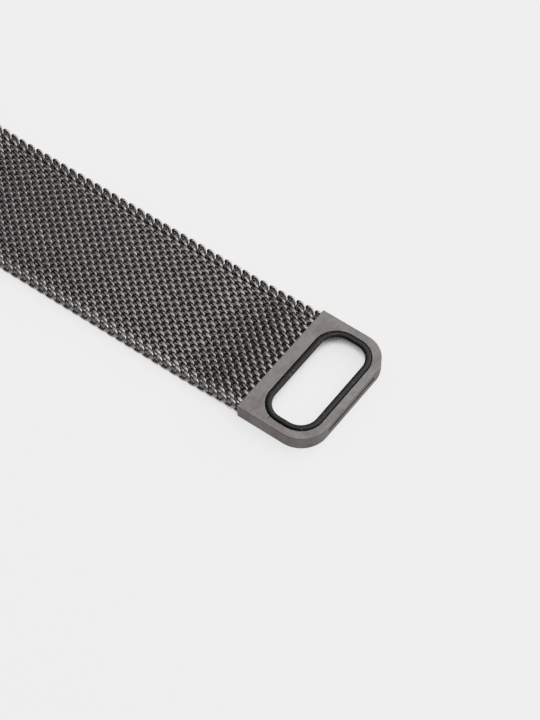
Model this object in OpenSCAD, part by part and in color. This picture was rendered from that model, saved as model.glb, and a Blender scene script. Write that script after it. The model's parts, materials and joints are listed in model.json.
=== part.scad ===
// Woven mesh watch strap, ring half. Millimetres.
// The strap lies on a table along X, with the free end of its ring at the +X end and
// the watch end at the -X end. Z = 0 is the table. The origin is under its middle.

/* [Mesh band] */
// Width of the woven band over its edge loops
mesh_w = 22; // [18:0.5:24]
// Thickness of the woven band over its coils
mesh_t = 1.48; // [1.3:0.02:1.6]
// Distance from one wire coil to the next along the strap
coil_pitch = 0.875; // [0.8:0.005:1]
// Distance from one turn of a coil to the next across the strap
turn_pitch = 1.515; // [1.3:0.005:1.8]
// Links that the band is divided into
link_count = 20; // [8:1:24]
// Wire coils in each link
coils_per_link = 4; // [3:1:5]
// How far the loops at the two edges stand out
edge_loop = 0.4; // [0.2:0.05:0.6]
// Openings between two coils, counted across the band
openings_across = 12; // [6:1:12]
// Size of an opening along the strap
opening_l = 0.42; // [0.2:0.02:0.46]
// Size of an opening across the strap
opening_w = 1; // [0.5:0.05:1.1]

/* [Ring] */
// How far the ring stands out past the band at each side
ring_overhang = 0.15; // [0.05:0.05:1]
// Thickness of the ring
ring_t = 2.5; // [2.3:0.1:3]
// Radius of the two corners at the free end
ring_corner_r = 4.7; // [3:0.1:6]
// Bevel on the outer edges of the ring
ring_bevel = 0.2; // [0.1:0.05:0.3]
// Length of the slot along the strap
slot_l = 9.75; // [8.5:0.05:12]
// Radius of the slot's corners
slot_corner_r = 4; // [2.5:0.1:4.2]
// Metal between the band and the slot
mesh_wall = 2.25; // [1.9:0.05:3]
// Metal between the slot and the free end
end_wall = 1.2; // [1:0.05:1.5]
// Metal beside the slot, at each side
side_wall = 1.28; // [1:0.02:1.6]
// Width of the flare round the slot on the ring's underside
slot_flare = 0.5; // [0.3:0.05:0.6]
// Height of that flare
flare_h = 0.6; // [0.4:0.05:0.7]
// Length of the slit in the end face
slit_w = 11.9; // [8:0.1:12.5]
// Height of the slit in the end face
slit_t = 0.5; // [0.4:0.05:0.6]

/* [Slot liner] */
// How far the liner's lip stands into the slot
lip_w = 1.1; // [0.8:0.05:1.3]
// How far the lip's inner edge lies below the ring's top face
lip_drop = 0; // [0:0.05:0.3]
// How far the rounded top of the lip rises over its inner edge
lip_dome = 0.15; // [0.1:0.05:0.3]
// Thickness of the liner at its foot
foot_w = 0.12; // [0.1:0.02:0.3]
// How far the liner's tab lies back from the end face
tab_set_back = 0.35; // [0.2:0.05:0.6]

/* [Lug end] */
// Outer diameter of the lug tube
lug_d = 3.2; // [3:0.1:3.6]
// How far each end of the lug tube lies inside the band's edge
lug_inset = 0.1; // [0:0.05:0.3]
// Reach of the tube's nose from the bar to the mesh
nose_l = 2.9; // [2.7:0.1:3.5]
// Height of the tube's nose
nose_t = 2.3; // [2.2:0.05:2.6]
// Depth of the pockets that grip the mesh in the ring and in the nose
pocket_depth = 0.9; // [0.6:0.05:1.1]

/* [Spring bar] */
// Outer diameter of the bar's barrel
barrel_d = 1.8; // [1.7:0.05:1.9]
// Wall of the bar's barrel
barrel_wall = 0.2; // [0.16:0.02:0.24]
// How far each end of the barrel lies inside the lug tube
barrel_inset = 0.3; // [0.1:0.05:0.5]
// Diameter of the two tips
tip_d = 0.7; // [0.6:0.05:0.8]
// Diameter of the neck behind each tip
neck_d = 1.04; // [0.94:0.02:1.08]
// How far each tip stands out of the lug tube
tip_out = 1.1; // [0.8:0.05:1.3]
// Travel of the sliding tip
tip_travel = 1.2; // [0.8:0.1:1.4]
// Length of the thick part of each tip, inside the barrel
plug_l = 3.4; // [3:0.1:4]
// End wall that holds the sliding tip in the barrel
stop_wall = 0.5; // [0.3:0.05:0.7]
// Diameter of the release knob
knob_d = 1.6; // [1.2:0.1:1.8]
// Thickness of the release knob
knob_t = 0.45; // [0.3:0.05:0.5]
// Diameter of the knob's stem
stem_d = 0.6; // [0.5:0.05:0.7]
// Wire of the bar's spring
spring_wire = 0.12; // [0.1:0.01:0.14]
// Turns of the bar's spring
spring_turns = 20; // [12:1:22]

/* [Fits] */
// Gap between a piece and the pocket that it is set in
seat_gap = 0.05; // [0.02:0.01:0.08]
// Gap round a pin, plug or knuckle that turns or slides
run_gap = 0.05; // [0.02:0.01:0.08]
// Gap between neighbouring knuckles along a hinge
knuckle_gap = 0.06; // [0.04:0.01:0.1]
// Room round the knob in its cut-out
knob_room = 0.2; // [0.1:0.05:0.3]

/* [Hidden] */
$fn = 48;
over = 0.01;

// Band, seen from the side: ridges one coil pitch apart, and a hinge line at each end.
coil_r = mesh_t/2;
link_l = coils_per_link*coil_pitch;
relief_r = coil_r + run_gap;
web_t = 1.5*coil_r;
core_w = mesh_w - 2*edge_loop;
loop_r = 0.84*coil_r;
loop_t = 1.2*coil_r;

// Knuckles take turns across the band, half a turn of wire apart.
knuckle_step = turn_pitch/2;
knuckle_w = knuckle_step - knuckle_gap;
knuckle_count = floor(core_w/knuckle_step);
opening_step = core_w/openings_across;
function knuckle_y(k) = (k - (knuckle_count - 1)/2)*knuckle_step;

// Heights of the band's middle: low on the table, and up into the ring and the lug tube.
mesh_z = coil_r;
ring_z = ring_t/2;
lug_z = lug_d/2;
rise_links = 3;
function ease(t) = t >= 1 ? 0 : (1 + cos(180*t))/2;
function hinge_z(i) =
    mesh_z
    + (ring_z - mesh_z)*ease(i/rise_links)
    + (lug_z - mesh_z)*ease((link_count - i)/rise_links);
function link_rise(i) = hinge_z(i - 1) - hinge_z(i);
function link_run(i) = sqrt(pow(link_l, 2) - pow(link_rise(i), 2));
function band_run(i) = i == 0 ? 0 : band_run(i - 1) + link_run(i);

// Ring, sized from the band and from the metal round its slot.
ring_l = mesh_wall + slot_l + end_wall;
ring_w = mesh_w + 2*ring_overhang;
slot_w = ring_w - 2*side_wall;

// Places along X, from the free end of the ring to the lug tube.
end_step = coil_pitch;
total_l = ring_l + band_run(link_count) + 2*end_step + nose_l + lug_d/2;
ring_end_x = total_l/2;
ring_face_x = ring_end_x - ring_l;
function hinge_x(i) = ring_face_x - end_step - band_run(i);
nose_face_x = hinge_x(link_count) - end_step;
lug_x = nose_face_x - nose_l;
slot_x = ring_end_x - end_wall - slot_l/2;

// Pockets that grip the two ends of the mesh.
pocket_t = mesh_t + 2*seat_gap;
pocket_w = core_w + 2*seat_gap;
anchor_t = 0.9*mesh_t;

// Spring bar, from its sliding tip at the -Y end to its fixed tip at the +Y end.
lug_w = mesh_w - 2*lug_inset;
barrel_r = barrel_d/2;
barrel_in_r = barrel_r - barrel_wall;
barrel_l = lug_w - 2*barrel_inset;
bar_end = barrel_l/2;
tip_r = tip_d/2;
neck_r = neck_d/2;
tip_end = lug_w/2 + tip_out;
plug_r = barrel_in_r - run_gap;
slider_start = -bar_end + stop_wall + run_gap;
slider_end = slider_start + plug_l;
plug_start = bar_end - plug_l;
spring_r = plug_r - spring_wire/2;
spring_start = slider_end + spring_wire/2 + run_gap;
spring_end = plug_start - spring_wire/2 - run_gap;
knob_y = slider_start + plug_l/2;
knob_floor = 0.12;

function link_name(i) = str("mesh_link_", i < 10 ? "0" : "", i);

// Cylinder along Y, from y = start to y = end.
module rod(r, start, end) {
    translate([0, end, 0])
        rotate([90, 0, 0]) cylinder(r = r, h = end - start);
}

// Half section of a plate with bevelled edges, from its middle to its edge.
module edge_section(reach) {
    polygon([
        [0, 0],
        [reach - ring_bevel, 0],
        [reach, ring_bevel],
        [reach, ring_t - ring_bevel],
        [reach - ring_bevel, ring_t],
        [0, ring_t]
    ]);
}

// Sweeps a section round a rounded rectangle. The section's x is the distance inwards.
module frame_sweep(length, width, r) {
    for (turn = [0:3]) {
        side = turn % 2 == 0 ? width : length;
        reach = turn % 2 == 0 ? length/2 : width/2;
        rotate([0, 0, 90*turn]) {
            translate([reach, side/2 - r, 0])
                rotate([90, 0, 0])
                    linear_extrude(side - 2*r)
                        mirror([1, 0]) children();
            translate([reach - r, side/2 - r, 0])
                rotate_extrude(angle = 90, $fn = 96)
                    translate([r, 0]) mirror([1, 0]) children();
        }
    }
}

// Straight walled hole with the plan of the slot.
module slot_hole() {
    straight_l = slot_l - 2*slot_corner_r;
    straight_w = slot_w - 2*slot_corner_r;
    translate([0, 0, -over])
        linear_extrude(ring_t + 2*over) {
            square([slot_l, straight_w], center = true);
            square([straight_l, slot_w], center = true);
            for (x = [-1, 1], y = [-1, 1])
                translate([x*straight_l/2, y*straight_w/2])
                    circle(r = slot_corner_r, $fn = 96);
        }
}

// Ring before its holes: a plate with two large corners and bevelled edges.
module ring_plate() {
    straight_l = ring_l - ring_corner_r;
    straight_w = ring_w - 2*ring_corner_r;
    translate([ring_face_x, 0, 0]) {
        for (side = [0, 1])
            mirror([0, side, 0]) {
                rotate([90, 0, 90])
                    linear_extrude(straight_l) edge_section(ring_w/2);
                translate([straight_l, straight_w/2, 0])
                    rotate_extrude(angle = 90, $fn = 96)
                        edge_section(ring_corner_r);
            }
        translate([straight_l, straight_w/2, 0])
            rotate([90, 0, 0])
                linear_extrude(straight_w) edge_section(ring_corner_r);
    }
}

// Steel ring with its slot, the pocket for the mesh and the slit in the end face.
module ring_frame() {
    color("dimgray")
        difference() {
            ring_plate();
            translate([slot_x, 0, 0]) {
                slot_hole();
                frame_sweep(slot_l, slot_w, slot_corner_r)
                    polygon([
                        [over, -over],
                        [over, flare_h],
                        [0, flare_h],
                        [-slot_flare, 0],
                        [-slot_flare, -over]
                    ]);
            }
            translate([ring_face_x - over, -pocket_w/2, ring_z - pocket_t/2])
                cube([pocket_depth + over, pocket_w, pocket_t]);
            translate([ring_end_x - end_wall - over, -slit_w/2, ring_z - slit_t/2])
                cube([end_wall + 2*over, slit_w, slit_t]);
        }
}

// Black moulded liner: a domed lip that thins to a foot, and a tab in the ring's slit.
module slot_liner() {
    lip_z = ring_t - lip_drop;
    dome_middle = (lip_w + seat_gap)/2;
    dome_reach = (lip_w - seat_gap)/2;
    dome_steps = 10;
    tab_l = end_wall - tab_set_back + 2*seat_gap;
    color("#1c1d1f") {
        translate([slot_x, 0, 0])
            frame_sweep(slot_l, slot_w, slot_corner_r)
                polygon(concat(
                    [[seat_gap, flare_h + seat_gap], [seat_gap + foot_w, flare_h + seat_gap]],
                    [for (k = [0:dome_steps])
                        let (a = 180*k/dome_steps)
                            [dome_middle + dome_reach*cos(a), lip_z + lip_dome*sin(a)]]
                ));
        translate([
            ring_end_x - end_wall - 2*seat_gap,
            -slit_w/2 + seat_gap,
            ring_z - slit_t/2 + seat_gap
        ])
            cube([tab_l, slit_w - 2*seat_gap, slit_t - 2*seat_gap]);
    }
}

// Knuckles on a hinge line along Y, each with a web that reaches towards +X.
// First is 0 or 1: the two rows that meet on one line take every other place.
module knuckle_row(first) {
    for (k = [first:2:knuckle_count - 1])
        translate([0, knuckle_y(k) + knuckle_w/2, 0])
            rotate([90, 0, 0])
                linear_extrude(knuckle_w) {
                    circle(r = coil_r);
                    translate([0, -web_t/2]) square([coil_pitch, web_t]);
                }
}

// Clears the knuckles of the neighbour on a hinge line.
module hinge_relief() {
    rod(relief_r, -mesh_w/2 - over, mesh_w/2 + over);
}

// Row of see-through gaps of the weave, between two coils that are fixed to each other.
module opening_row() {
    for (k = [0:openings_across - 1])
        translate([
            -opening_l/2,
            (k - (openings_across - 1)/2)*opening_step - opening_w/2,
            -coil_r - over
        ])
            cube([opening_l, opening_w, 2*coil_r + 2*over]);
}

// One link of the band, between the hinge lines at x = 0 and x = link_l.
module link() {
    difference() {
        union() {
            for (k = [1:coils_per_link - 1])
                translate([k*coil_pitch, 0, 0]) rod(coil_r, -core_w/2, core_w/2);
            for (k = [1:2:coils_per_link - 1], side = [-1, 1])
                translate([k*coil_pitch, side*(mesh_w/2 - loop_r), -loop_t/2])
                    cylinder(r = loop_r, h = loop_t);
        }
        hinge_relief();
        translate([link_l, 0, 0]) hinge_relief();
        for (k = [1:coils_per_link - 2])
            translate([(k + 0.5)*coil_pitch, 0, 0]) opening_row();
    }
    knuckle_row(1);
    translate([link_l, 0, 0]) mirror([1, 0, 0]) knuckle_row(0);
}

// Link i in its place, tilted where the band rises towards the ring or the lug tube.
module mesh_link(i) {
    color("gray")
        translate([hinge_x(i), 0, hinge_z(i)])
            rotate([0, -atan2(link_rise(i), link_run(i)), 0])
                link();
}

// Coils fixed in a pocket, with the hinge line at x = 0 and the pocket towards +X.
module anchor_coils(first) {
    difference() {
        union() {
            translate([end_step, 0, 0]) rod(coil_r, -core_w/2, core_w/2);
            translate([end_step/2, -core_w/2, -anchor_t/2])
                cube([end_step/2 + pocket_depth - seat_gap, core_w, anchor_t]);
        }
        hinge_relief();
    }
    knuckle_row(first);
}

module ring_anchor_coils() {
    color("gray")
        translate([hinge_x(0), 0, ring_z]) anchor_coils(1);
}

module lug_anchor_coils() {
    color("gray")
        translate([hinge_x(link_count), 0, lug_z])
            mirror([1, 0, 0]) anchor_coils(0);
}

// Tube for the spring bar, with a nose that grips the mesh and a cut-out for the knob.
module lug_tube() {
    cut_w = knob_d + 2*knob_room;
    cut_l = knob_d + tip_travel + 2*knob_room;
    color("dimgray")
        translate([lug_x, 0, lug_z])
            difference() {
                union() {
                    rod(lug_d/2, -lug_w/2, lug_w/2);
                    translate([0, -lug_w/2, -nose_t/2]) cube([nose_l, lug_w, nose_t]);
                }
                rod(barrel_r + run_gap, -lug_w/2 - over, lug_w/2 + over);
                translate([nose_l - pocket_depth, -pocket_w/2, -pocket_t/2])
                    cube([pocket_depth + over, pocket_w, pocket_t]);
                translate([-cut_w/2, knob_y - knob_d/2 - knob_room, -lug_d])
                    cube([cut_w, cut_l, lug_d]);
            }
}

// Barrel with one end narrowed for the sliding tip and a slit for the knob's stem.
module spring_bar_barrel() {
    slit = stem_d + 2*run_gap;
    color("silver")
        translate([lug_x, 0, lug_z])
            difference() {
                rod(barrel_r, -bar_end, bar_end);
                rod(barrel_in_r, -bar_end + stop_wall, bar_end + over);
                rod(neck_r + run_gap, -bar_end - over, -bar_end + stop_wall + over);
                translate([-slit/2, knob_y - slit/2, -barrel_d])
                    cube([slit, slit + tip_travel, barrel_d]);
            }
}

module spring_bar_fixed_tip() {
    color("silver")
        translate([lug_x, 0, lug_z]) {
            rod(plug_r, plug_start, bar_end);
            rod(neck_r, bar_end - over, lug_w/2);
            rod(tip_r, lug_w/2 - over, tip_end);
        }
}

// Sliding tip, with a cross hole for the knob's stem.
module spring_bar_sliding_tip() {
    color("silver")
        translate([lug_x, 0, lug_z])
            difference() {
                union() {
                    rod(plug_r, slider_start, slider_end);
                    rod(neck_r, -lug_w/2, slider_start + over);
                    rod(tip_r, -tip_end, -lug_w/2 + over);
                }
                translate([0, knob_y, -barrel_d])
                    cylinder(d = stem_d + 2*seat_gap, h = barrel_d + over);
            }
}

// Knob under the bar, on a stem that goes through the barrel's slit into the tip.
module release_knob() {
    color("silver")
        translate([lug_x, knob_y, 0]) {
            translate([0, 0, knob_floor]) cylinder(d = knob_d, h = knob_t);
            translate([0, 0, knob_floor]) cylinder(d = stem_d, h = lug_z - knob_floor - seat_gap);
        }
}

// Wire spring, swept along a helix with a ring of points for each step.
module spring_bar_spring() {
    rings_per_turn = 8;
    sides = 6;
    rings = spring_turns*rings_per_turn;
    climb = (spring_end - spring_start)/rings;
    step_a = 360/rings_per_turn;
    wire_r = spring_wire/2;
    points = [
        for (n = [0:rings], s = [0:sides - 1])
            let (a = n*step_a, b = 360*s/sides, out = spring_r + wire_r*cos(b))
                [out*cos(a), spring_start + n*climb + wire_r*sin(b), out*sin(a)]
    ];
    walls = [
        for (n = [0:rings - 1], s = [0:sides - 1])
            let (t = (s + 1) % sides, here = n*sides, next = here + sides)
                each [
                    [here + s, next + t, here + t],
                    [here + s, next + s, next + t]
                ]
    ];
    start_cap = [for (s = [1:sides - 2]) [0, s, s + 1]];
    last = rings*sides;
    end_cap = [for (s = [1:sides - 2]) [last, last + s + 1, last + s]];
    turn_gap = (spring_end - spring_start)/spring_turns - spring_wire;
    echo(least_gap_between_spring_turns = turn_gap);
    color("darkgray")
        translate([lug_x, 0, lug_z])
            polyhedron(points, concat(walls, start_cap, end_cap));
}

ring_frame();
slot_liner();
ring_anchor_coils();
for (i = [1:link_count])
    mesh_link(i);
lug_anchor_coils();
lug_tube();
spring_bar_barrel();
spring_bar_fixed_tip();
spring_bar_sliding_tip();
spring_bar_spring();
release_knob();
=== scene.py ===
"""Looks of the woven watch strap: wire weave, lined ring, lug tube, spring bar and studio."""

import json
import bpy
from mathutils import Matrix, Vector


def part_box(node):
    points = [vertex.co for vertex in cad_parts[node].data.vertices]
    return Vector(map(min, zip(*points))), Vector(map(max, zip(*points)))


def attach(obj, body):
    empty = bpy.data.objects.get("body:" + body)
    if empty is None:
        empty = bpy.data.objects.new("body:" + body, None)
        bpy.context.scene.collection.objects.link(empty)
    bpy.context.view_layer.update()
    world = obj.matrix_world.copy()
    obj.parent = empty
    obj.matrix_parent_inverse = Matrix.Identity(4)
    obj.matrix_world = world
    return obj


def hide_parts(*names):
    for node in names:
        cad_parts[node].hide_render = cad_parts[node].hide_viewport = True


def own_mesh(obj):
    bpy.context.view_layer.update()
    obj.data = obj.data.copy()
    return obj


bl_info = {
    "name": "Woven Watch Strap",
    "version": (1, 0, 0),
    "blender": (4, 5, 0),
    "location": "View3D > Sidebar > Strap",
    "description": "Builds the wire weave, ring, liner, lug tube and spring bar of a watch strap",
    "category": "Object",
}

from math import asin, copysign, cos, pi, radians, sin, tau

import bmesh
import bpy
from bpy.props import FloatProperty, FloatVectorProperty, IntProperty, PointerProperty
from mathutils import Matrix, Vector

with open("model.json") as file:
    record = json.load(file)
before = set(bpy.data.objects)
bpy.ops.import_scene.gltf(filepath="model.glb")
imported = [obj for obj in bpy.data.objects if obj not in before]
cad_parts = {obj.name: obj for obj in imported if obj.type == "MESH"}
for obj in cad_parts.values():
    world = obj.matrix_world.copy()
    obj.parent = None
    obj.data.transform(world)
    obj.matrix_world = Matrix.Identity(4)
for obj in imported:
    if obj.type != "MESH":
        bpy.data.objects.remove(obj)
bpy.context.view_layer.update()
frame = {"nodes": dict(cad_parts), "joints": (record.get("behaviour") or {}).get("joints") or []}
MM = 0.001

# Sizes that follow from the frame
RING_LOW, RING_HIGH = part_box("ring_frame")
LINER_LOW, LINER_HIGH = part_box("slot_liner")
LUG_LOW, LUG_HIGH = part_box("lug_tube")
LINK_LOW, LINK_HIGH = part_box("mesh_link_10")
BARREL_LOW, BARREL_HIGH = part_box("spring_bar_barrel")
FIXED_LOW, FIXED_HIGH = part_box("spring_bar_fixed_tip")
SLIDING_LOW, SLIDING_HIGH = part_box("spring_bar_sliding_tip")
SPRING_LOW, SPRING_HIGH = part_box("spring_bar_spring")
KNOB_LOW, KNOB_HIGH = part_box("release_knob")
HINGES = [j for j in frame["joints"] if j["name"].startswith("mesh_hinge")]
SLIDE = next(j for j in frame["joints"] if j["name"] == "release_slide")
BAR_X = (BARREL_LOW.x + BARREL_HIGH.x) / 2
BAR_Z = (BARREL_LOW.z + BARREL_HIGH.z) / 2
ALONG_Y = Matrix.Rotation(-pi / 2, 3, "X")


class WeaveSettings(bpy.types.PropertyGroup):
    """Form and colour of the woven wires"""

    coils_per_link: IntProperty(
        name="Coils per Link", description="Wire coils in each link", default=4, min=1
    )
    turns: IntProperty(
        name="Turns", description="Turns of each coil across the band", default=14, min=2
    )
    turn_pitch: FloatProperty(
        name="Turn Pitch", description="Distance between turns", default=1.515 * MM, unit="LENGTH"
    )
    half_width: FloatProperty(
        name="Half Width", description="Coil's middle line, from its axis along the band",
        default=0.686 * MM, unit="LENGTH",
    )
    wire_radius: FloatProperty(
        name="Wire Radius", description="Half the wire's thickness", default=0.221 * MM, unit="LENGTH"
    )
    swell: FloatProperty(
        name="Swell", description="How much wider the rolled wire is on the faces than at its bends",
        default=0.25, min=0, max=1,
    )
    worn_off: FloatProperty(
        name="Worn Off", description="Depth of wire that rolling took off both faces",
        default=0.116 * MM, unit="LENGTH",
    )
    fullness: FloatProperty(
        name="Fullness", description="How full the coil's shoulders stand", default=0.396, min=-0.5, max=1
    )
    squareness: FloatProperty(
        name="Squareness", description="1 for a round coil, less for a square one",
        default=0.713, min=0.4, max=1.5,
    )
    slope: FloatProperty(
        name="Slope", description="How evenly the wire climbs on the two faces", default=-0.098, min=-1, max=1
    )
    lean: FloatProperty(
        name="Lean", description="How far the coil leans over", default=-0.321, min=-1, max=1
    )
    closing_steps: IntProperty(
        name="Closing Steps", description="Points of wire that close every second coil past each edge",
        default=12, min=0,
    )
    loop_narrowing: FloatProperty(
        name="Loop Narrowing", description="How much narrower a closing turn is", default=0.13, min=0, max=0.5
    )
    loop_lowering: FloatProperty(
        name="Loop Lowering", description="How much flatter a closing turn is", default=0.16, min=0, max=0.5
    )
    color: FloatVectorProperty(
        name="Wire Colour", description="Colour of the wire", subtype="COLOR",
        default=(0.203, 0.192, 0.186),
    )


class RingSettings(bpy.types.PropertyGroup):
    """Sizes and colours of the ring and its liner"""

    edge_radius: FloatProperty(
        name="Edge Radius", description="Rounding of the outer edges", default=0.07 * MM, unit="LENGTH"
    )
    corner_radius: FloatProperty(
        name="Corner Radius", description="Corners at the free end", default=4.7 * MM, unit="LENGTH"
    )
    slot_length: FloatProperty(
        name="Slot Length", description="Slot's opening along the strap", default=9.75 * MM, unit="LENGTH"
    )
    slot_radius: FloatProperty(
        name="Slot Radius", description="Corners of the slot", default=4.0 * MM, unit="LENGTH"
    )
    flare: FloatProperty(
        name="Flare", description="How much the slot widens at the underside", default=0.5 * MM, unit="LENGTH"
    )
    flare_height: FloatProperty(
        name="Flare Height", description="Height up to which the slot widens", default=0.6 * MM, unit="LENGTH"
    )
    slit_width: FloatProperty(
        name="Slit Width", description="Slit in the end face", default=11.9 * MM, unit="LENGTH"
    )
    slit_height: FloatProperty(
        name="Slit Height", description="Slit in the end face", default=0.5 * MM, unit="LENGTH"
    )
    lip_width: FloatProperty(
        name="Lip Width", description="Width of the liner's lip", default=1.1 * MM, unit="LENGTH"
    )
    color: FloatVectorProperty(
        name="Ring Colour", description="Colour of the satin steel", subtype="COLOR",
        default=(0.196, 0.187, 0.18),
    )
    liner_color: FloatVectorProperty(
        name="Liner Colour", description="Colour of the moulded liner", subtype="COLOR",
        default=(0.005, 0.005, 0.006),
    )


class BarSettings(bpy.types.PropertyGroup):
    """Spring bar and its spring"""

    color: FloatVectorProperty(
        name="Bar Colour", description="Colour of the turned steel", subtype="COLOR",
        default=(0.62, 0.61, 0.6),
    )
    spring_turns: IntProperty(
        name="Spring Turns", description="Turns of the bar's spring", default=20, min=3
    )
    spring_wire: FloatProperty(
        name="Spring Wire", description="Thickness of the spring's wire", default=0.12 * MM, unit="LENGTH"
    )
    spring_color: FloatVectorProperty(
        name="Spring Colour", description="Colour of the spring's wire", subtype="COLOR",
        default=(0.5, 0.5, 0.5),
    )


class StudioSettings(bpy.types.PropertyGroup):
    """Camera and background"""

    azimuth: FloatProperty(
        name="Azimuth", description="Direction in which the camera looks, from +Y towards +X",
        subtype="ANGLE", default=radians(-36.334),
    )
    elevation: FloatProperty(
        name="Elevation", description="Angle at which the camera looks down", subtype="ANGLE",
        default=radians(54.645),
    )
    distance: FloatProperty(
        name="Distance", description="Camera's distance", default=0.358, unit="LENGTH"
    )
    lens: FloatProperty(
        name="Lens", description="Focal length for a 36 mm high sensor", default=117.13
    )
    target: FloatVectorProperty(
        name="Target", description="Middle of the view, from the ring's mesh side", subtype="TRANSLATION",
        unit="LENGTH", default=(-1.658 * MM, -0.517 * MM, 1.0 * MM),
    )
    background: FloatProperty(
        name="Background", description="Grey of the floor paper", default=0.863, min=0, max=1
    )
    room: FloatProperty(
        name="Room", description="Grey of the room round the set", default=0.386, min=0
    )


class Tree:
    """Node tree under construction."""

    def __init__(self, tree):
        self.tree = tree

    def add(self, kind, settings=None, **sockets):
        """Adds a node: first its settings, then the values or links of its sockets."""
        node = self.tree.nodes.new(kind)
        for name, value in (settings or {}).items():
            if name == "stops":
                set_stops(node.color_ramp, value)
            else:
                setattr(node, name, value)
        for name, value in sockets.items():
            self.feed(node, name, value)
        return node

    def feed(self, node, name, value):
        """Sets or links the input whose name or number is given, with _ for a space."""
        key = int(name[1:]) if name[1:].isdigit() else name.replace("_", " ")
        socket = node.inputs[key]
        if isinstance(value, Socket):
            value = value.source
        if isinstance(value, bpy.types.NodeSocket):
            self.tree.links.new(value, socket)
        elif isinstance(value, bpy.types.Node):
            self.tree.links.new(value.outputs[0], socket)
        else:
            socket.default_value = value

    def wrap(self, source):
        return Socket(self, source)

    def between(self, value, low, high, kind="LINEAR"):
        """0 where a value is below low, 1 above high."""
        node = self.add(
            "ShaderNodeMapRange", {"interpolation_type": kind}, Value=value, From_Min=low, From_Max=high
        )
        return self.wrap(node)

    def smooth(self, value, low, high):
        """As between, with soft ends."""
        return self.between(value, low, high, "SMOOTHSTEP")


class Socket:
    """Socket on which + - * / and ** add Math nodes."""

    def __init__(self, tree, source):
        self.tree = tree
        self.source = source.outputs[0] if isinstance(source, bpy.types.Node) else source

    def math(self, operation, first, second=0.0):
        node = self.tree.add("ShaderNodeMath", {"operation": operation}, _0=first, _1=second)
        return Socket(self.tree, node)

    def __add__(self, other):
        return self.math("ADD", self, other)

    def __radd__(self, other):
        return self.math("ADD", other, self)

    def __sub__(self, other):
        return self.math("SUBTRACT", self, other)

    def __rsub__(self, other):
        return self.math("SUBTRACT", other, self)

    def __mul__(self, other):
        return self.math("MULTIPLY", self, other)

    def __rmul__(self, other):
        return self.math("MULTIPLY", other, self)

    def __truediv__(self, other):
        return self.math("DIVIDE", self, other)

    def __pow__(self, other):
        return self.math("POWER", self, other)

    def sign(self):
        return self.math("SIGN", self)

    def size(self):
        return self.math("ABSOLUTE", self)

    def sine(self):
        return self.math("SINE", self)

    def cosine(self):
        return self.math("COSINE", self)

    def modulo(self, other):
        return self.math("MODULO", self, other)

    def least(self, other):
        return self.math("MINIMUM", self, other)

    def most(self, other):
        return self.math("MAXIMUM", self, other)


def empty_tree(owner):
    """Empty node tree of a material or a world."""
    owner.use_nodes = True
    owner.node_tree.nodes.clear()
    return owner.node_tree


def set_stops(ramp, stops):
    """Gives a colour ramp the stops (place, grey)."""
    while len(ramp.elements) > 1:
        ramp.elements.remove(ramp.elements[-1])
    for number, (place, grey) in enumerate(stops):
        element = ramp.elements[0] if number == 0 else ramp.elements.new(place)
        element.position = place
        element.color = (grey, grey, grey, 1)


# Materials


class Finish(Tree):
    """Material with one Principled shader, read on Object coordinates."""

    def __init__(self, name, **fixed):
        self.material = bpy.data.materials.new(name)
        super().__init__(empty_tree(self.material))
        self.shader = self.add("ShaderNodeBsdfPrincipled", **fixed)
        self.add("ShaderNodeOutputMaterial", Surface=self.shader)
        self.place = self.add("ShaderNodeTexCoord").outputs["Object"]

    def noise(self, scale, detail=2.0, stretch=(1, 1, 1), rough=0.5):
        """Noise whose cells are about 1/scale mm, and longer along an axis whose stretch is below 1."""
        vector = self.add("ShaderNodeMapping", _0=self.place, Scale=[s / MM for s in stretch])
        node = self.add("ShaderNodeTexNoise", Vector=vector, Scale=scale, Detail=detail, Roughness=rough)
        return self.wrap(node.outputs["Fac"])

    def ramp(self, value, *stops):
        return self.wrap(self.add("ShaderNodeValToRGB", {"stops": stops}, Fac=value))

    def mix(self, factor, first, second):
        """Colour between two colours."""
        node = self.add("ShaderNodeMix", {"data_type": "RGBA"}, _0=factor)
        self.feed(node, "_6", rgba(first))
        self.feed(node, "_7", rgba(second))
        return self.wrap(node.outputs[2])

    def color(self, value):
        self.feed(self.shader, "Base_Color", value)

    def roughness(self, value):
        self.feed(self.shader, "Roughness", value)

    def bump(self, height, depth):
        """Relief of the given depth in metres."""
        node = self.add("ShaderNodeBump", Height=height, Distance=depth, Strength=1.0)
        self.feed(self.shader, "Normal", node)


def rgba(value):
    """Colour with alpha, or the link as it is."""
    if isinstance(value, (Socket, bpy.types.Node, bpy.types.NodeSocket)):
        return value
    return (*value[:3], 1.0)


def shade(color, factor):
    """Colour times a factor."""
    return [channel * factor for channel in color[:3]]


def wire_finish(settings):
    """Polished dark wire, with painted shade down between the faces and a painted highlight along the band's
    long edges.
    """
    finish = Finish("mesh_steel", Metallic=1.0)
    cloud = finish.noise(0.35, 3)
    grain = finish.noise(9, 2)
    color = settings.color
    tone = finish.mix(finish.ramp(cloud, (0.35, 0), (0.65, 1)), shade(color, 0.88), shade(color, 1.08))
    # painted shade: the stored level is 1 on the pressed faces and lower down between them, where the colour
    # is darkened
    rubbed = finish.add("ShaderNodeAttribute", {"attribute_name": "rubbed"}).outputs["Fac"]
    spot = finish.add("ShaderNodeSeparateXYZ", _0=finish.place)
    from_edge = LINK_HIGH.y - finish.wrap(spot.outputs["Y"]).size()
    # painted highlight: the colour is brightened along the band's long edges, and the painted shade is lifted
    # there
    painted_edge_light = 1 - finish.smooth(from_edge, 1.2 * MM, 2.6 * MM)
    edge = 1 - finish.smooth(from_edge, 0.5 * MM, 1.1 * MM)
    tone = finish.mix(painted_edge_light * 0.5 + edge * 0.5, tone, shade(color, 1.5))
    finish.color(finish.mix(finish.between(rubbed, 0.5, 0.95).most(painted_edge_light), shade(color, 0.45), tone))
    finish.roughness(0.17 + grain * 0.08)
    finish.bump(grain, 0.004 * MM)
    return finish.material


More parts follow.
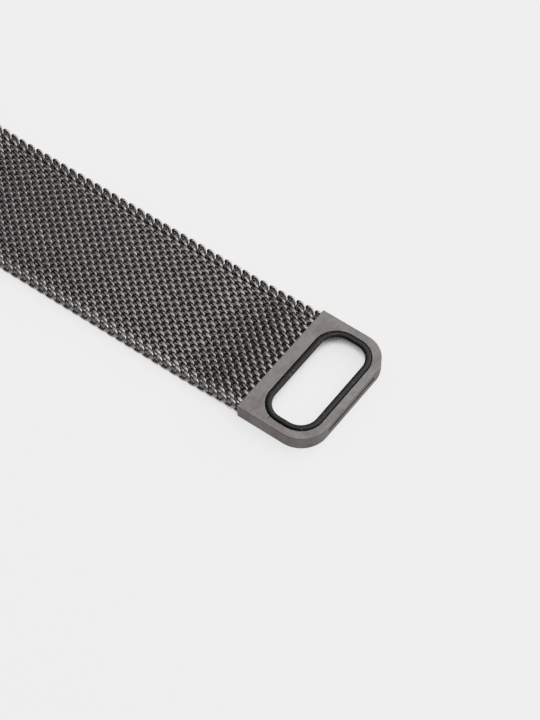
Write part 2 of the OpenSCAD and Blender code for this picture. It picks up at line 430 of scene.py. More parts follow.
def satin_finish(name, color):
    """Satin steel with fine grain, brushing along Y, brownish clouds and a few tiny pits."""
    finish = Finish(name, Metallic=1.0)
    cloud = finish.noise(0.24, 4, rough=0.65)
    patch = finish.noise(1.1, 3, rough=0.6)
    grain = finish.noise(5, 3, rough=0.75)
    lines = finish.noise(3.5, 2, stretch=(1, 0.1, 1))
    pits = finish.ramp(finish.noise(1.3, 0), (0.13, 1), (0.17, 0))
    stain = finish.ramp(cloud, (0.46, 0), (0.62, 1))
    tint = finish.mix(stain, color, (color[0] * 0.74, color[1] * 0.64, color[2] * 0.65))
    speck = finish.ramp(patch, (0.35, 0), (0.65, 1))
    tone = finish.mix(speck * 0.4, tint, shade(color, 0.68))
    tone = finish.mix(finish.ramp(grain, (0.3, 0), (0.7, 1)) * 0.25, tone, shade(color, 1.35))
    tone = finish.mix(finish.ramp(lines, (0.52, 0), (0.72, 1)) * 0.3, tone, shade(color, 1.5))
    finish.color(finish.mix(pits * 0.7, tone, shade(color, 0.3)))
    finish.roughness(0.38 + grain * 0.12 + lines * 0.06)
    finish.bump(grain * 0.6 + lines * 0.3 - pits, 0.014 * MM)
    return finish.material


def liner_finish(settings):
    """Semi-gloss moulded black with dust specks."""
    finish = Finish("liner_plastic", Metallic=0.0, IOR=1.34)
    grain = finish.noise(6, 2)
    dust = finish.ramp(finish.noise(3.2, 1), (0.7, 0), (0.74, 1))
    dust_color = (0.3, 0.3, 0.3)
    finish.color(finish.mix(dust * 0.5, settings.liner_color, dust_color))
    finish.roughness(0.28 + grain * 0.16 + dust * 0.2)
    finish.bump(grain, 0.006 * MM)
    return finish.material


def turned_finish(name, color):
    """Turned steel with fine rings round the bar."""
    finish = Finish(name, Metallic=1.0)
    rings = finish.noise(4, 2, stretch=(0.1, 6, 0.1))
    cloud = finish.noise(0.5, 2)
    finish.color(finish.mix(cloud * 0.5, color, shade(color, 0.75)))
    finish.roughness(0.24 + rings * 0.16)
    finish.bump(rings, 0.004 * MM)
    return finish.material


# Meshes


def new_object(name, mesh):
    """Object in the scene, at the origin."""
    piece = bpy.data.objects.new(name, mesh)
    bpy.context.scene.collection.objects.link(piece)
    return piece


def shade_smooth(mesh, sharp_above=radians(34)):
    """Smooth shading, with edges left sharp above an angle."""
    mesh.polygons.foreach_set("use_smooth", [True] * len(mesh.polygons))
    mesh.set_sharp_from_angle(angle=sharp_above)


def from_bmesh(name, shape, material, smooth=True):
    """Object at the origin with the mesh of a bmesh, whose normals are put right first."""
    bmesh.ops.remove_doubles(shape, verts=shape.verts, dist=0.0005 * MM)
    bmesh.ops.recalc_face_normals(shape, faces=shape.faces)
    mesh = bpy.data.meshes.new(name)
    shape.to_mesh(mesh)
    shape.free()
    if smooth:
        shade_smooth(mesh)
    mesh.materials.append(material)
    return new_object(name, mesh)


def plain_mesh(piece):
    """Gives a piece the plain mesh that its modifiers make, and removes the modifiers."""
    graph = bpy.context.evaluated_depsgraph_get()
    mesh = bpy.data.meshes.new_from_object(piece.evaluated_get(graph))
    old = piece.data
    piece.modifiers.clear()
    piece.data = mesh
    bpy.data.meshes.remove(old)
    mesh.name = piece.name


def loft(shape, loops, around=True):
    """Quads between neighbouring loops of points. Around joins the last loop to the first."""
    rows = [[shape.verts.new(point) for point in loop] for loop in loops]
    pairs = list(zip(rows, rows[1:]))
    if around:
        pairs.append((rows[-1], rows[0]))
    for here, there in pairs:
        for number, corner in enumerate(here):
            after = (number + 1) % len(here)
            shape.faces.new((corner, here[after], there[after], there[number]))
    return rows


def quarter(middle, radius, start, steps=4):
    """Points of a quarter circle, counted on from a start angle in degrees."""
    angles = [radians(start + 90 * step / steps) for step in range(steps + 1)]
    return [(middle[0] + radius * cos(a), middle[1] + radius * sin(a)) for a in angles]


def lathe(shape, profile, place, turn, sides=32):
    """Spins a profile of (distance along the axis, radius) into a closed solid."""
    loops = []
    circle = [(cos(tau * n / sides), sin(tau * n / sides)) for n in range(sides)]
    for along, radius in profile:
        points = [Vector((radius * x, radius * y, along)) for x, y in circle]
        loops.append([place + turn @ point for point in points])
    rows = loft(shape, loops, around=False)
    shape.faces.new(rows[0])
    shape.faces.new(rows[-1])


def add_block(shape, low, high):
    """Adds a box from its lowest to its highest corner, and returns its corners."""
    verts = bmesh.ops.create_cube(shape, size=1)["verts"]
    for vert in verts:
        vert.co = Vector([low[n] if vert.co[n] < 0 else high[n] for n in range(3)])
    return verts


def cutter(name, shape):
    """Object of a bmesh that is cut out of a piece and then removed."""
    mesh = bpy.data.meshes.new(name)
    shape.to_mesh(mesh)
    shape.free()
    return new_object(name, mesh)


def dress(piece, body, slot, *nodes):
    """Puts a finished piece on its body and in place of its CAD nodes; the slot argument is not used."""
    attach(piece, body)
    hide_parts(*nodes)


# Weave


def coil_tree():
    """Geometry Nodes: a row of flattened wire coils along X, each turned half a turn on from the last."""
    group = bpy.data.node_groups.new("wire_coils", "GeometryNodeTree")
    sockets = {
        "Coils": ("NodeSocketInt", 4),
        "Coil Pitch": ("NodeSocketFloat", 0.875 * MM),
        "Turns": ("NodeSocketInt", 14),
        "Closing Steps": ("NodeSocketInt", 0),
        "Loop Narrowing": ("NodeSocketFloat", 0.0),
        "Loop Lowering": ("NodeSocketFloat", 0.0),
        "Turn Pitch": ("NodeSocketFloat", 1.5 * MM),
        "Half Width": ("NodeSocketFloat", 0.7 * MM),
        "Half Height": ("NodeSocketFloat", 0.5 * MM),
        "Fullness": ("NodeSocketFloat", 0.0),
        "Squareness": ("NodeSocketFloat", 1.0),
        "Slope": ("NodeSocketFloat", 0.0),
        "Lean": ("NodeSocketFloat", 0.0),
        "Pressed Height": ("NodeSocketFloat", 1.0),
        "Edge Reach": ("NodeSocketFloat", 0.0),
        "Wire Radius": ("NodeSocketFloat", 0.2 * MM),
        "Swell": ("NodeSocketFloat", 0.0),
        "Steps": ("NodeSocketInt", 24),
        "Sides": ("NodeSocketInt", 8),
        "Place": ("NodeSocketVector", (0, 0, 0)),
        "Tilt": ("NodeSocketFloat", 0.0),
        "Material": ("NodeSocketMaterial", None),
    }
    for name, (kind, default) in sockets.items():
        socket = group.interface.new_socket(name, in_out="INPUT", socket_type=kind)
        if default is not None:
            socket.default_value = default
    group.interface.new_socket("Geometry", in_out="OUTPUT", socket_type="NodeSocketGeometry")
    tree = Tree(group)
    given = tree.add("NodeGroupInput")
    size = {name: tree.wrap(given.outputs[name]) for name in sockets}

    index = tree.wrap(tree.add("GeometryNodeInputIndex"))
    row_step = tree.add("ShaderNodeCombineXYZ", X=size["Coil Pitch"])
    row = tree.add("GeometryNodeMeshLine", Count=size["Coils"], Offset=row_step)
    odd = index.modulo(2)
    coils = tree.add("GeometryNodeJoinGeometry")
    for turned, selection in enumerate((1 - odd, odd)):
        placed = tree.add(
            "GeometryNodeInstanceOnPoints", Points=row, Instance=one_coil(tree, size, index, turned),
            Selection=selection, Rotation=(0, pi * turned, 0),
        )
        tree.feed(coils, "Geometry", placed)
    coils = tree.add("GeometryNodeRealizeInstances", Geometry=coils)
    tilt = tree.add("ShaderNodeCombineXYZ", Y=size["Tilt"])
    coils = tree.add("GeometryNodeTransform", Geometry=coils, Translation=size["Place"], Rotation=tilt)
    coils = tree.add("GeometryNodeSetMaterial", Geometry=coils, Material=size["Material"])
    output = tree.add("NodeGroupOutput")
    tree.feed(output, "Geometry", coils)
    return group


def one_coil(tree, size, index, turned):
    """Wire along one coil. An unturned coil closes on itself at both edges, a turned one ends open."""
    closing = 0 if turned else size["Closing Steps"]
    turn = (index - closing) / size["Steps"]
    angle = turn * tau + pi
    rise, swing = angle.sine(), angle.cosine()
    height = rise * (1 + size["Fullness"] - size["Fullness"] * rise * rise) * size["Half Height"]
    breadth = swing.sign() * swing.size() ** size["Squareness"] * size["Half Width"]
    climb = turn - size["Turns"] / 2 + (angle * 2).sine() * size["Slope"] / tau
    to_go = size["Turns"] - turn
    # two turns near either edge stand a little farther apart
    spread = size["Edge Reach"] / size["Turn Pitch"]
    climb = climb + (tree.between(turn, 0.5, 2.5) - tree.between(to_go, 0.5, 2.5)) * spread
    count = size["Turns"] * size["Steps"] + 1
    if not turned:
        # the last strand lies along the edge, and half a turn more, set back, closes the loop
        set_back, loop_range, flat_range = 0.62, (0.34, 0.6), (-0.12, 0.02)
        closed = size["Closing Steps"].least(1.0)
        near_loop, far_loop = [(1 - tree.smooth(left, *loop_range)) * closed for left in (turn, to_go)]
        near_flat = near_loop * tree.smooth(turn, *flat_range)
        far_flat = far_loop * tree.smooth(to_go, *flat_range)
        edge = size["Turns"] / 2 + spread
        climb = climb + (near_loop - near_flat - far_loop + far_flat) * set_back
        climb = climb - (edge + climb) * near_flat
        climb = climb + (edge - climb) * far_flat
        breadth = breadth * (1 - (near_loop + far_loop) * size["Loop Narrowing"])
        height = height * (1 - (near_loop + far_loop) * size["Loop Lowering"])
        count = count + 2 * size["Closing Steps"]
    across = climb * size["Turn Pitch"]
    point = tree.add("ShaderNodeCombineXYZ", X=breadth + height * size["Lean"], Y=across, Z=height)
    line = tree.add("GeometryNodeMeshLine", Count=count)
    path = tree.add("GeometryNodeMeshToCurve", Mesh=line)
    path = tree.add("GeometryNodeSetPosition", Geometry=path, Position=point)
    circle = tree.add(
        "GeometryNodeCurvePrimitiveCircle", Resolution=size["Sides"], Radius=size["Wire Radius"]
    )
    coil = tree.add(
        "GeometryNodeCurveToMesh", Curve=path, Profile_Curve=circle, Fill_Caps=True,
        Scale=1 + size["Swell"] * rise * rise,
    )
    # rolling presses both faces of the band flat
    spot = tree.add("ShaderNodeSeparateXYZ", _0=tree.add("GeometryNodeInputPosition"))
    pressed = tree.wrap(spot.outputs["Z"]).least(size["Pressed Height"]).most(size["Pressed Height"] * -1)
    level = pressed.size() / size["Pressed Height"]
    # the level towards the pressed faces is stored for the painted shade in the wire's colour
    coil = tree.add("GeometryNodeStoreNamedAttribute", Geometry=coil, Name="rubbed", Value=level)
    pressed = tree.add("ShaderNodeCombineXYZ", X=spot.outputs["X"], Y=spot.outputs["Y"], Z=pressed)
    coil = tree.add("GeometryNodeSetPosition", Geometry=coil, Position=pressed)
    return tree.add("GeometryNodeSetShadeSmooth", Geometry=coil)


def coil_piece(name, group, **sizes):
    """Plain mesh of a row of coils, with the given inputs of the tree."""
    piece = new_object(name, bpy.data.meshes.new(name))
    modifier = piece.modifiers.new("coils", "NODES")
    modifier.node_group = group
    for item in group.interface.items_tree:
        key = item.name.replace(" ", "_").lower()
        if item.in_out == "INPUT" and key in sizes:
            modifier[item.identifier] = sizes[key]
    plain_mesh(piece)
    shade_smooth(piece.data, radians(40))
    return piece


def cut_past(piece, place, direction):
    """Cuts a piece off past a plane and closes the cut wires."""
    shape = bmesh.new()
    shape.from_mesh(piece.data)
    geometry = shape.verts[:] + shape.edges[:] + shape.faces[:]
    cut = bmesh.ops.bisect_plane(
        shape, geom=geometry, plane_co=place, plane_no=direction, clear_outer=True, dist=1e-9
    )
    edges = [e for e in cut["geom_cut"] if isinstance(e, bmesh.types.BMEdge)]
    bmesh.ops.holes_fill(shape, edges=edges)
    shape.to_mesh(piece.data)
    shape.free()


class STRAP_OT_weave(bpy.types.Operator):
    """Build the wire coils of every link and of both anchored ends"""

    bl_idname = "strap.weave"
    bl_label = "Weave"

    # Settings that the wire tree takes as they are
    SHARED = (
        "turns", "turn_pitch", "half_width", "wire_radius", "swell", "fullness", "squareness", "slope",
        "lean", "closing_steps", "loop_narrowing", "loop_lowering",
    )

    def execute(self, context):
        settings = context.scene.strap_weave
        group = coil_tree()
        material = wire_finish(settings)
        hinges = [Vector(joint["pos_m"]) for joint in HINGES]
        links = len(hinges) - 1
        pitch = (hinges[0] - hinges[1]).length / settings.coils_per_link
        half_band, half_width = (LINK_HIGH.z - LINK_LOW.z) / 2, (LINK_HIGH.y - LINK_LOW.y) / 2
        rolled = settings.wire_radius * (1 + settings.swell)
        common = {name: getattr(settings, name) for name in self.SHARED}
        common.update(
            coil_pitch=pitch,
            half_height=half_band - rolled + settings.worn_off,
            pressed_height=half_band,
            edge_reach=half_width - rolled - settings.turns * settings.turn_pitch / 2,
            sides=10,
            material=material,
        )
        for number in range(1, links + 1):
            right, left = hinges[number - 1], hinges[number]
            along = right - left
            tilt = -asin(along.z / along.length)
            start = left + along * (0.5 / settings.coils_per_link)
            name = f"mesh_link_{number:02d}"
            piece = coil_piece(
                f"{name}_coils", group, coils=settings.coils_per_link, place=start, tilt=tilt, **common
            )
            dress(piece, name, "mesh_steel", name)

        # the anchored ends are cut off inside the ring and the lug tube
        held = 0.8 * MM
        place = hinges[0] + Vector((pitch / 2, 0, 0))
        ring_end = coil_piece("ring_anchor_wires", group, coils=2, place=place, tilt=0.0, **common)
        cut_past(ring_end, Vector((RING_LOW.x + held, 0, 0)), Vector((1, 0, 0)))
        dress(ring_end, "ring", "mesh_steel", "ring_anchor_coils")

        place = hinges[-1] - Vector((1.5 * pitch, 0, 0))
        lug_end = coil_piece("lug_anchor_wires", group, coils=2, place=place, tilt=0.0, **common)
        cut_past(lug_end, Vector((LUG_HIGH.x - held, 0, 0)), Vector((-1, 0, 0)))
        dress(lug_end, "lug_end", "mesh_steel", "lug_anchor_coils")
        return {"FINISHED"}


# Ring and liner


def corner_stations(box, radii, extra, steps=16):
    """Points and outward directions round a rectangle with rounded corners.

    Box is (x0, x1, half width), radii are those at x0 and at x1, and extra gives places on the
    straight sides at x1 and at x0.
    """
    x0, x1, half = box
    r0, r1 = radii
    corners = [(x1 - r1, half - r1, r1, 0), (x0 + r0, half - r0, r0, 90)]
    corners += [(x0 + r0, r0 - half, r0, 180), (x1 - r1, r1 - half, r1, 270)]
    stations = [(Vector((x1, y, 0)), Vector((1, 0, 0))) for y in (-extra[0], extra[0])]
    for number, (x, y, radius, start) in enumerate(corners):
        for step in range(steps + 1):
            angle = radians(start + 90 * step / steps)
            out = Vector((cos(angle), sin(angle), 0))
            stations.append((Vector((x, y, 0)) + radius * out, out))
        if number == 1:
            stations += [(Vector((x0, y, 0)), Vector((-1, 0, 0))) for y in (extra[1], -extra[1])]
    return stations


class STRAP_OT_ring(bpy.types.Operator):
    """Build the satin ring with its rounded edges, slot, slit and mesh pocket"""

    bl_idname = "strap.ring"
    bl_label = "Ring"

    def execute(self, context):
        settings = context.scene.strap_ring
        size = ring_sizes(settings)
        edge, slot_edge = settings.edge_radius, 0.05 * MM
        # loops this far past each rounded edge hold its shading
        hold = 0.03 * MM
        mesh_corner, before_corner = 0.12 * MM, 0.06 * MM
        top = RING_HIGH.z
        outer = corner_stations(
            (RING_LOW.x, RING_HIGH.x, RING_HIGH.y), (mesh_corner, settings.corner_radius),
            (size["slit_half"], size["pocket_half"]),
        )
        straight = size["slot_half"] - settings.slot_radius - before_corner
        inner = corner_stations(
            (size["slot_x0"], size["slot_x1"], size["slot_half"]), (settings.slot_radius,) * 2,
            (straight, straight),
        )
        loops = []
        for (rim, out), (lip, away) in zip(outer, inner):
            wall = quarter((-edge, edge), edge, -90) + [(0, edge + hold)]
            wall += [(0, z) for z in (size["pocket_z0"], size["slit_z0"], size["slit_z1"], size["pocket_z1"])]
            wall += [(0, top - edge - hold)] + quarter((-edge, top - edge), edge, 0)
            wall += [(-edge - hold, top)]
            loop = [rim + out * x + Vector((0, 0, z)) for x, z in wall]
            rounding = quarter((-slot_edge, top - slot_edge), slot_edge, 0, 2)
            hole = [(slot_edge + hold, top)] + [(-x, z) for x, z in reversed(rounding)]
            hole += [(0, top - slot_edge - hold), (0, size["slit_z1"]), (0, size["slit_z0"])]
            hole += [(0, settings.flare_height), (settings.flare, 0)]
            loop += [lip + away * x + Vector((0, 0, z)) for x, z in hole]
            loop.append(rim - out * (edge + hold))
            loops.append(loop)
        shape = bmesh.new()
        loft(shape, loops)
        self.open_slit(shape, size)
        self.sink_pocket(shape, size)
        piece = from_bmesh("ring_plate", shape, satin_finish("ring_steel", settings.color))
        dress(piece, "ring", "ring_steel", "ring_frame")
        return {"FINISHED"}

    def open_slit(self, shape, size):
        """Opens the slit from the end face through to the slot."""
        before_slot = size["slot_x1"] - 0.1 * MM
        window = middle_faces(shape, size["slit_z0"], size["slit_z1"], before_slot, RING_HIGH.x)
        edges = [edge for face in window for edge in face.edges]
        bmesh.ops.delete(shape, geom=window, context="FACES_ONLY")
        bmesh.ops.bridge_loops(shape, edges=[edge for edge in edges if edge.is_valid])

    def sink_pocket(self, shape, size):
        """Sinks the pocket for the mesh into the ring's mesh side."""
        faces = middle_faces(shape, size["pocket_z0"], size["pocket_z1"], RING_LOW.x, RING_LOW.x)
        edges = [edge for face in faces for edge in face.edges]
        # made face by face, because an extrusion lists its walls in an order that varies between runs
        inward = Vector((size["pocket_depth"], 0, 0))
        sunk = {}
        for face in faces:
            for vert in face.verts:
                if vert not in sunk:
                    sunk[vert] = shape.verts.new(vert.co + inward)
            shape.faces.new([sunk[vert] for vert in face.verts])
        for edge in edges:
            if edges.count(edge) == 1:
                first, second = edge.verts
                shape.faces.new((first, second, sunk[second], sunk[first]))
        bmesh.ops.delete(shape, geom=faces, context="FACES")


def middle_faces(shape, z0, z1, x0, x1):
    """Faces on the strap's middle line whose centres lie in a range of height and length."""
    near, close = 0.5 * MM, 0.01 * MM
    found = []
    for face in shape.faces:
        middle = face.calc_center_median()
        if abs(middle.y) < near and z0 < middle.z < z1 and x0 - close < middle.x < x1 + close:
            found.append(face)
    return found


def ring_sizes(settings):
    """Sizes of the ring's slot, slit and pocket, from the nodes that sit in them."""
    pocket_low, pocket_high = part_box("ring_anchor_coils")
    gap = 0.05 * MM
    middle = (RING_LOW.z + RING_HIGH.z) / 2
    slot_x0 = LINER_LOW.x - gap
    return {
        "slot_half": LINER_HIGH.y + gap,
        "slot_x0": slot_x0,
        "slot_x1": slot_x0 + settings.slot_length,
        "slit_half": settings.slit_width / 2,
        "slit_z0": middle - settings.slit_height / 2,
        "slit_z1": middle + settings.slit_height / 2,
        "pocket_half": pocket_high.y + gap,
        "pocket_z0": pocket_low.z - gap,
        "pocket_z1": pocket_high.z + gap,
        "pocket_depth": pocket_high.x + gap - RING_LOW.x,
    }


class STRAP_OT_liner(bpy.types.Operator):
    """Build the black liner with its rounded lip and the tab in the slit"""

    bl_idname = "strap.liner"
    bl_label = "Slot Liner"

    def execute(self, context):
        settings = context.scene.strap_ring
        size = ring_sizes(settings)
        gap, foot_w, foot_z = 0.03 * MM, 0.12 * MM, 0.65 * MM
        # the lip stands off the slot's wall by a fine groove
        groove, groove_z = 0.09 * MM, RING_HIGH.z - 0.22 * MM
        half = (settings.lip_width - groove) / 2
        height = LINER_HIGH.z - groove_z
        # powers below 1 make the lip's round section fuller
        across_power, up_power = 0.75, 0.7
        steps = 14
        section = [(gap, groove_z), (gap, foot_z), (gap + foot_w, foot_z)]
        for step in range(steps + 1):
            angle = pi * step / steps
            swing = cos(angle)
            side = copysign(abs(swing) ** across_power, swing) * half
            section.append((groove + half + side, groove_z + height * sin(angle) ** up_power))
        stations = corner_stations(
            (size["slot_x0"], size["slot_x1"], size["slot_half"]), (settings.slot_radius,) * 2, (MM, MM)
        )
        loops = [[p - out * x + Vector((0, 0, z)) for x, z in section] for p, out in stations]
        shape = bmesh.new()
        loft(shape, loops)
        low = Vector((size["slot_x1"] - gap * 3, -size["slit_half"] + gap, size["slit_z0"] + gap))
        high = Vector((LINER_HIGH.x, size["slit_half"] - gap, size["slit_z1"] - gap))
        tab = add_block(shape, low, high)
        edges = list({edge for vert in tab for edge in vert.link_edges})
        bmesh.ops.bevel(shape, geom=edges, offset=0.08 * MM, segments=3, affect="EDGES", profile=0.5)
        piece = from_bmesh("slot_lip", shape, liner_finish(settings))
        dress(piece, "ring", "liner_plastic", "slot_liner")
        return {"FINISHED"}


# Lug tube and spring bar


class STRAP_OT_lug_tube(bpy.types.Operator):
    """Build the lug tube with its nose, mesh pocket, bore and knob cut-out"""

    bl_idname = "strap.lug_tube"
    bl_label = "Lug Tube"

    # Air round what sits in the tube
    GAP = 0.05 * MM

    def execute(self, context):
        ring = context.scene.strap_ring
        radius = (LUG_HIGH.z - LUG_LOW.z) / 2
        nose_half = 1.15 * MM
        meet = asin(nose_half / radius)
        steps = 40
        outline = []
        for step in range(steps + 1):
            angle = meet + (tau - 2 * meet) * step / steps
            outline.append((BAR_X + radius * cos(angle), BAR_Z + radius * sin(angle)))
        outline += [(LUG_HIGH.x, BAR_Z - nose_half), (LUG_HIGH.x, BAR_Z + nose_half)]
        shape = bmesh.new()
        loops = [[Vector((x, y, z)) for x, z in outline] for y in (LUG_LOW.y, LUG_HIGH.y)]
        rows = loft(shape, loops, around=False)
        for row in rows:
            shape.faces.new(row)
        piece = from_bmesh("lug_tube_shell", shape, satin_finish("lug_steel", ring.color), smooth=False)
        cutters = [self.bore(), self.pocket(), self.knob_window()]
        for number, tool in enumerate(cutters):
            hole = piece.modifiers.new(f"hole_{number}", "BOOLEAN")
            hole.operation = "DIFFERENCE"
            hole.solver = "EXACT"
            hole.object = tool
        soften = piece.modifiers.new("edges", "BEVEL")
        soften.width = 0.12 * MM
        soften.segments = 3
        soften.angle_limit = radians(35)
        soften.harden_normals = True
        plain_mesh(piece)
        for tool in cutters:
            bpy.data.objects.remove(tool)
        shade_smooth(piece.data)
        dress(piece, "lug_end", "ring_steel", "lug_tube")
        return {"FINISHED"}

    def bore(self):
        """Hole for the spring bar."""
        shape = bmesh.new()
        radius = BARREL_HIGH.z - BAR_Z + self.GAP
        start = LUG_LOW.y - MM
        lathe(shape, [(start, radius), (-start, radius)], Vector((BAR_X, 0, BAR_Z)), ALONG_Y, sides=48)
        bmesh.ops.recalc_face_normals(shape, faces=shape.faces)
        return cutter("bore", shape)

    def pocket(self):
        """Hole for the mesh in the nose."""
        low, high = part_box("lug_anchor_coils")
        depth = 0.9 * MM
        shape = bmesh.new()
        add_block(
            shape, (LUG_HIGH.x - depth, -high.y - self.GAP, low.z - self.GAP),
            (LUG_HIGH.x + MM, high.y + self.GAP, high.z + self.GAP),
        )
        return cutter("pocket", shape)

    def knob_window(self):
        """Cut-out in which the release knob travels."""
        room = 0.2 * MM
        travel = SLIDE["range_m"][1]
        shape = bmesh.new()
        add_block(
            shape, (KNOB_LOW.x - room, KNOB_LOW.y - room, LUG_LOW.z - MM),
            (KNOB_HIGH.x + room, KNOB_HIGH.y + travel + room, BAR_Z),
        )
        return cutter("knob_window", shape)


class STRAP_OT_spring_bar(bpy.types.Operator):
    """Build the spring bar's tips and knob, and finish its barrel"""

    bl_idname = "strap.spring_bar"
    bl_label = "Spring Bar"

    def execute(self, context):
        steel = turned_finish("bar_steel", context.scene.strap_bar.color)
        axis = Vector((BAR_X, 0, BAR_Z))
        shape = bmesh.new()
        profile = self.tip_profile(FIXED_LOW.y, BARREL_HIGH.y, LUG_HIGH.y, FIXED_HIGH.y)
        lathe(shape, profile, axis, ALONG_Y)
        piece = from_bmesh("fixed_tip", shape, steel)
        dress(piece, "lug_end", "bar_steel", "spring_bar_fixed_tip")

        shape = bmesh.new()
        stop = BARREL_LOW.y + 0.55 * MM
        profile = self.tip_profile(-SLIDING_HIGH.y, -stop, -LUG_LOW.y, -SLIDING_LOW.y)
        lathe(shape, profile, axis, ALONG_Y.inverted())
        piece = from_bmesh("sliding_tip", shape, steel)
        dress(piece, "release", "bar_steel", "spring_bar_sliding_tip")

        shape = bmesh.new()
        middle = Vector(((KNOB_LOW.x + KNOB_HIGH.x) / 2, (KNOB_LOW.y + KNOB_HIGH.y) / 2, 0))
        lathe(shape, self.knob_profile(), middle, Matrix.Identity(3), sides=40)
        piece = from_bmesh("thumb_knob", shape, steel)
        dress(piece, "release", "bar_steel", "release_knob")

        barrel = frame["nodes"]["spring_bar_barrel"]
        barrel.data.materials.clear()
        barrel.data.materials.append(steel)
        return {"FINISHED"}

    def tip_profile(self, inner, shoulder, mouth, end):
        """Plug inside the barrel, neck up to the tube's mouth, and thin pin with a rounded end."""
        plug, neck, pin = 0.65 * MM, 0.52 * MM, 0.35 * MM
        plug_edge, neck_edge = 0.08 * MM, 0.06 * MM
        profile = [(inner, plug - plug_edge), (inner + plug_edge, plug), (shoulder, plug), (shoulder, neck)]
        profile += [(mouth - neck_edge, neck), (mouth, neck - neck_edge), (mouth, pin)]
        soft = pin * 0.6
        profile.append((end - soft - 0.01 * MM, pin))
        return profile + quarter((end - soft, pin - soft), soft, 0)[::-1]

    def knob_profile(self):
        """Face with a fine ring groove and a rounded rim, cap and stem."""
        knob_r, stem_r = (KNOB_HIGH.x - KNOB_LOW.x) / 2, 0.3 * MM
        low, cap = KNOB_LOW.z, KNOB_LOW.z + 0.45 * MM
        rim, root = 0.07 * MM, 0.05 * MM
        profile = [(low, knob_r * 0.55), (low + 0.02 * MM, knob_r * 0.62), (low, knob_r * 0.7)]
        profile += [(low, knob_r * 0.86), (low + 0.03 * MM, knob_r * 0.95), (low + 0.09 * MM, knob_r)]
        profile += [(cap - rim, knob_r), (cap, knob_r - rim)]
        return profile + [(cap, stem_r + root), (cap + root, stem_r), (KNOB_HIGH.z, stem_r)]


class STRAP_OT_bar_spring(bpy.types.Operator):
    """Build the wire spring inside the bar's barrel"""

    bl_idname = "strap.bar_spring"
    bl_label = "Bar Spring"

    def execute(self, context):
        settings = context.scene.strap_bar
        group = bpy.data.node_groups["wire_coils"]
        wire = settings.spring_wire / 2
        length = SPRING_HIGH.y - SPRING_LOW.y - 2 * wire
        radius = (SPRING_HIGH.x - SPRING_LOW.x) / 2 - wire
        middle = (SPRING_HIGH.y + SPRING_LOW.y) / 2
        piece = coil_piece(
            "bar_spring_coil", group, coils=1, coil_pitch=0.0,
            turns=settings.spring_turns, turn_pitch=length / settings.spring_turns,
            half_width=radius, half_height=radius, pressed_height=1.0, wire_radius=wire,
            steps=16, sides=6, place=Vector((BAR_X, middle, BAR_Z)), tilt=0.0,
            material=turned_finish("spring_steel", settings.spring_color),
        )
        dress(piece, "lug_end", "spring_steel", "spring_bar_spring")
        keep = (length - SLIDE["range_m"][1]) / length
        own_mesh(piece)
        return {"FINISHED"}


# Studio


def toward(azimuth, elevation):
    """Unit vector at an azimuth from +Y towards +X and an elevation above the floor."""
    flat = cos(elevation)
    return Vector((sin(azimuth) * flat, cos(azimuth) * flat, sin(elevation)))


def aim(piece, azimuth, elevation, distance):
    """Places a lamp or card in a direction from the band before the ring, and turns it there."""
    target = Vector((RING_LOW.x - 30 * MM, 0, 0))
    away = toward(azimuth, elevation)
    piece.location = target + away * distance
    piece.rotation_euler = away.to_track_quat("Z", "Y").to_euler()


def rectangle(name, half_x, half_y, material):
    """Flat rectangle round the origin, facing up."""
    corners = [(-half_x, -half_y, 0), (half_x, -half_y, 0), (half_x, half_y, 0), (-half_x, half_y, 0)]
    mesh = bpy.data.meshes.new(name)
    mesh.from_pydata(corners, [], [(0, 1, 2, 3)])
    mesh.materials.append(material)
    return new_object(name, mesh)


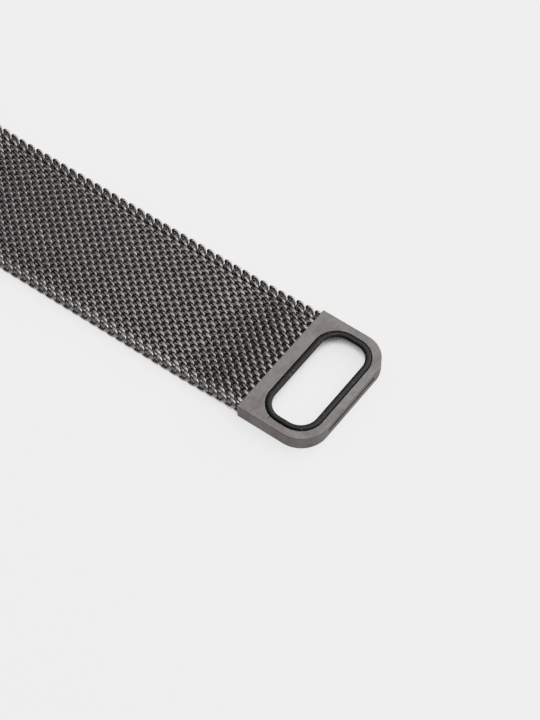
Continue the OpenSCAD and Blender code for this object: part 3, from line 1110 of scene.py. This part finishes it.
class STRAP_OT_studio(bpy.types.Operator):
    """Set up the pale floor, the soft light and the camera"""

    bl_idname = "strap.studio"
    bl_label = "Studio"

    def execute(self, context):
        settings = context.scene.strap_studio
        self.floor(settings)
        self.world(settings)
        self.lights()
        self.flag()
        self.camera(settings)
        context.scene.view_settings.view_transform = "Standard"
        return {"FINISHED"}

    def floor(self, settings):
        half = 3.0
        rectangle("floor", half, half, self.paper(settings.background))

    def paper(self, level):
        """Pale paper that keeps its shadow where the band lies close above and a faint one round it."""
        material = bpy.data.materials.new("floor_paper")
        tree = Tree(empty_tree(material))
        path = tree.add("ShaderNodeLightPath")
        seen = tree.wrap(path.outputs["Is Camera Ray"])
        seen = seen.most(path.outputs["Is Glossy Ray"]).most(path.outputs["Is Transmission Ray"])
        close, covered, clear, glow_share = 2.5 * MM, 0.2, 0.42, 0.85
        overhead = tree.add("ShaderNodeAmbientOcclusion", {"samples": 8}, Distance=close)
        clear_of_band = tree.smooth(overhead.outputs["AO"], covered, clear)
        glow = tree.add("ShaderNodeEmission", Color=rgba((level,) * 3), Strength=1.0)
        matt = tree.add("ShaderNodeBsdfDiffuse", Color=rgba((level,) * 3))
        mixed = tree.add("ShaderNodeMixShader", Fac=seen * clear_of_band * glow_share, _1=matt, _2=glow)
        tree.add("ShaderNodeOutputMaterial", Surface=mixed)
        return material

    def world(self, settings):
        world = bpy.data.worlds.new("studio")
        tree = Tree(empty_tree(world))
        room = tree.add("ShaderNodeBackground", Color=rgba((settings.room,) * 3), Strength=1.0)
        tree.add("ShaderNodeOutputWorld", Surface=room)
        bpy.context.scene.world = world

    def lights(self):
        self.softbox("key", azimuth=0.45, elevation=0.765, size=2.8375, radiance=2.1)
        self.softbox("top", azimuth=-0.601, elevation=1.224, size=1.0975, radiance=0.65)

    def softbox(self, name, azimuth, elevation, size, radiance):
        """Square lamp 2 m away, whose surface shines with the given radiance."""
        distance = 2.0
        light = bpy.data.lights.new(name, "AREA")
        light.shape = "SQUARE"
        light.size = size
        light.energy = radiance * pi * light.size**2
        lamp = bpy.data.objects.new(name, light)
        lamp.visible_camera = False
        bpy.context.scene.collection.objects.link(lamp)
        aim(lamp, azimuth, elevation, distance)

    def flag(self):
        """Black card in front, which keeps the sides of the wires dark."""
        material = bpy.data.materials.new("flag_card")
        tree = Tree(empty_tree(material))
        black = 0.01
        card = tree.add("ShaderNodeBsdfDiffuse", Color=rgba((black,) * 3))
        tree.add("ShaderNodeOutputMaterial", Surface=card)
        half_x, half_y = 1.95, 1.54
        flag = rectangle("flag", half_x, half_y, material)
        aim(flag, azimuth=3.827, elevation=0.253, distance=1.0)
        flag.visible_camera = False
        flag.visible_diffuse = False
        flag.visible_shadow = False

    def camera(self, settings):
        data = bpy.data.cameras.new("camera")
        data.sensor_fit = "VERTICAL"
        data.sensor_height = 36
        data.lens = settings.lens
        data.clip_end = 20
        camera = bpy.data.objects.new("camera", data)
        look = toward(settings.azimuth, -settings.elevation)
        target = Vector((RING_LOW.x, 0, 0)) + Vector(settings.target)
        camera.location = target - look * settings.distance
        camera.rotation_euler = look.to_track_quat("-Z", "Y").to_euler()
        bpy.context.scene.collection.objects.link(camera)
        bpy.context.scene.camera = camera


class STRAP_PT_panel(bpy.types.Panel):
    """Lists the operators and their settings"""

    bl_label = "Woven Strap"
    bl_idname = "STRAP_PT_panel"
    bl_space_type = "VIEW_3D"
    bl_region_type = "UI"
    bl_category = "Strap"

    def draw(self, context):
        for operator in OPERATORS:
            self.layout.operator(operator.bl_idname)
        for name in SETTINGS:
            group = getattr(context.scene, name)
            for key in group.__annotations__:
                self.layout.prop(group, key)


SETTINGS = {
    "strap_weave": WeaveSettings,
    "strap_ring": RingSettings,
    "strap_bar": BarSettings,
    "strap_studio": StudioSettings,
}
OPERATORS = (
    STRAP_OT_studio, STRAP_OT_weave, STRAP_OT_ring, STRAP_OT_liner, STRAP_OT_lug_tube,
    STRAP_OT_spring_bar, STRAP_OT_bar_spring,
)
CLASSES = (*SETTINGS.values(), *OPERATORS, STRAP_PT_panel)


def register():
    for cls in CLASSES:
        bpy.utils.register_class(cls)
    for name, cls in SETTINGS.items():
        setattr(bpy.types.Scene, name, PointerProperty(type=cls))


def unregister():
    for name in SETTINGS:
        delattr(bpy.types.Scene, name)
    for cls in reversed(CLASSES):
        bpy.utils.unregister_class(cls)


def main():
    register()
    for operator in OPERATORS:
        category, name = operator.bl_idname.split(".")
        getattr(getattr(bpy.ops, category), name)()


if __name__ == "__main__":
    main()
